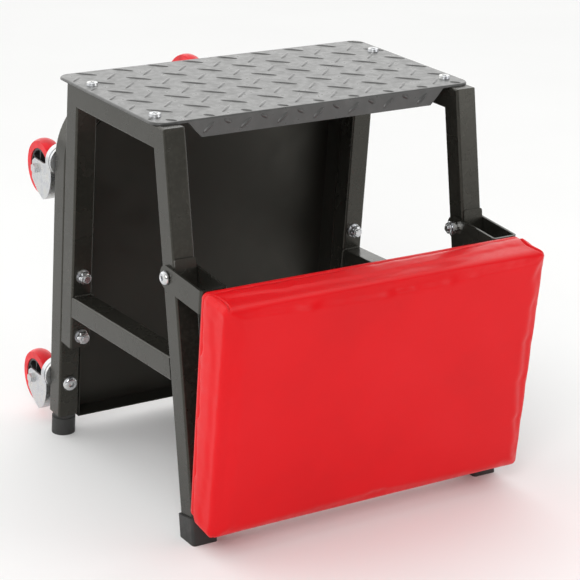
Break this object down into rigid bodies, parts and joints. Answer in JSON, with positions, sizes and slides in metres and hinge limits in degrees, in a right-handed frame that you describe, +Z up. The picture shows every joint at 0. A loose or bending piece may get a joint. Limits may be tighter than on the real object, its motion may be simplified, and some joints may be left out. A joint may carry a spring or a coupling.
{
  "type": "mechanic step stool seat",
  "caption": "Step stool with a tread plate top that lies on its back as a rolling seat: square tube frame, red hinged pad, tool tray and swivel castors.",
  "frame": {"origin": "floor level, at the middle of the whole object seen from above", "axes": "+Z up; the seat pad faces -Y and the castors +Y; +X across the step"},
  "size_m": [0.399, 0.4827, 0.4309],
  "materials": {
    "frame_black": "gloss powder coat",
    "tread_black": "satin powder coat",
    "tray_black": "satin powder coat",
    "zinc": "zinc plated",
    "foot_rubber": "matte",
    "hub_black": "satin",
    "red_tyre": "satin",
    "red_vinyl": "gloss vinyl",
    "foam": "matte",
    "board": "stained black"
  },
  "bodies": {
    "frame": {"step_plate": "tread_black", "step_screws": "zinc", "rivet_nuts": "zinc", "front_leg_left": "frame_black", "front_leg_right": "frame_black", "top_rail_left": "frame_black", "top_rail_right": "frame_black", "rear_leg_left": "frame_black", "rear_leg_right": "frame_black", "stretcher_left": "frame_black", "stretcher_right": "frame_black", "leg_stop_plates": "frame_black", "front_foot_caps": "foot_rubber", "rear_feet": "foot_rubber", "rear_frame": "frame_black", "tool_tray": "tray_black", "frame_bolts": "zinc", "frame_washers": "zinc", "frame_nuts": "zinc", "pivot_sleeves": "zinc", "pivot_bolts": "zinc", "pivot_nuts": "zinc", "castor_king_bolts": "zinc", "castor_upper_races": "zinc", "castor_king_rivets": "zinc", "castor_race_balls": "zinc"},
    "seat": {"seat_strap_left": "frame_black", "seat_strap_right": "frame_black", "seat_board": "board", "tee_nuts": "zinc", "strap_screws": "zinc", "seat_cover": "red_vinyl", "seat_foam": "foam"},
    "swivel_top_centre": {"castor_fork_top_centre": "zinc", "castor_axle_top_centre": "zinc"},
    "wheel_top_centre": {"castor_hub_top_centre": "hub_black", "castor_tyre_top_centre": "red_tyre"},
    "swivel_left_upper": {"castor_fork_left_upper": "zinc", "castor_axle_left_upper": "zinc"},
    "wheel_left_upper": {"castor_hub_left_upper": "hub_black", "castor_tyre_left_upper": "red_tyre"},
    "swivel_left_lower": {"castor_fork_left_lower": "zinc", "castor_axle_left_lower": "zinc"},
    "wheel_left_lower": {"castor_hub_left_lower": "hub_black", "castor_tyre_left_lower": "red_tyre"},
    "swivel_right_upper": {"castor_fork_right_upper": "zinc", "castor_axle_right_upper": "zinc"},
    "wheel_right_upper": {"castor_hub_right_upper": "hub_black", "castor_tyre_right_upper": "red_tyre"},
    "swivel_right_lower": {"castor_fork_right_lower": "zinc", "castor_axle_right_lower": "zinc"},
    "wheel_right_lower": {"castor_hub_right_lower": "hub_black", "castor_tyre_right_lower": "red_tyre"}
  },
  "joints": [
    {"name": "seat_hinge", "type": "hinge", "parent": "frame", "child": "seat", "pos_m": [0, -0.11568, 0.2745], "axis": [-1, 0, 0], "range_deg": [0, 75]},
    {"name": "castor_swivel_top_centre", "type": "hinge", "parent": "frame", "child": "swivel_top_centre", "pos_m": [0, 0.13871, 0.40524], "axis": [0, 0.9976, 0.0698], "continuous": true},
    {"name": "wheel_spin_top_centre", "type": "hinge", "parent": "swivel_top_centre", "child": "wheel_top_centre", "pos_m": [-0.00457, 0.1861, 0.38699], "axis": [0.9781, 0.0145, -0.2074], "continuous": true},
    {"name": "castor_swivel_left_upper", "type": "hinge", "parent": "frame", "child": "swivel_left_upper", "pos_m": [-0.179, 0.14423, 0.32634], "axis": [0, 0.9976, 0.0698], "continuous": true},
    {"name": "wheel_spin_left_upper", "type": "hinge", "parent": "swivel_left_upper", "child": "wheel_left_upper", "pos_m": [-0.179, 0.19165, 0.30761], "axis": [1, 0, 0], "continuous": true},
    {"name": "castor_swivel_left_lower", "type": "hinge", "parent": "frame", "child": "swivel_left_lower", "pos_m": [-0.179, 0.16234, 0.06744], "axis": [0, 0.9976, 0.0698], "continuous": true},
    {"name": "wheel_spin_left_lower", "type": "hinge", "parent": "swivel_left_lower", "child": "wheel_left_lower", "pos_m": [-0.179, 0.20976, 0.04871], "axis": [1, 0, 0], "continuous": true},
    {"name": "castor_swivel_right_upper", "type": "hinge", "parent": "frame", "child": "swivel_right_upper", "pos_m": [0.179, 0.14423, 0.32634], "axis": [0, 0.9976, 0.0698], "continuous": true},
    {"name": "wheel_spin_right_upper", "type": "hinge", "parent": "swivel_right_upper", "child": "wheel_right_upper", "pos_m": [0.179, 0.19165, 0.30761], "axis": [1, 0, 0], "continuous": true},
    {"name": "castor_swivel_right_lower", "type": "hinge", "parent": "frame", "child": "swivel_right_lower", "pos_m": [0.179, 0.16234, 0.06744], "axis": [0, 0.9976, 0.0698], "continuous": true},
    {"name": "wheel_spin_right_lower", "type": "hinge", "parent": "swivel_right_lower", "child": "wheel_right_lower", "pos_m": [0.179, 0.20976, 0.04871], "axis": [1, 0, 0], "continuous": true}
  ]
}
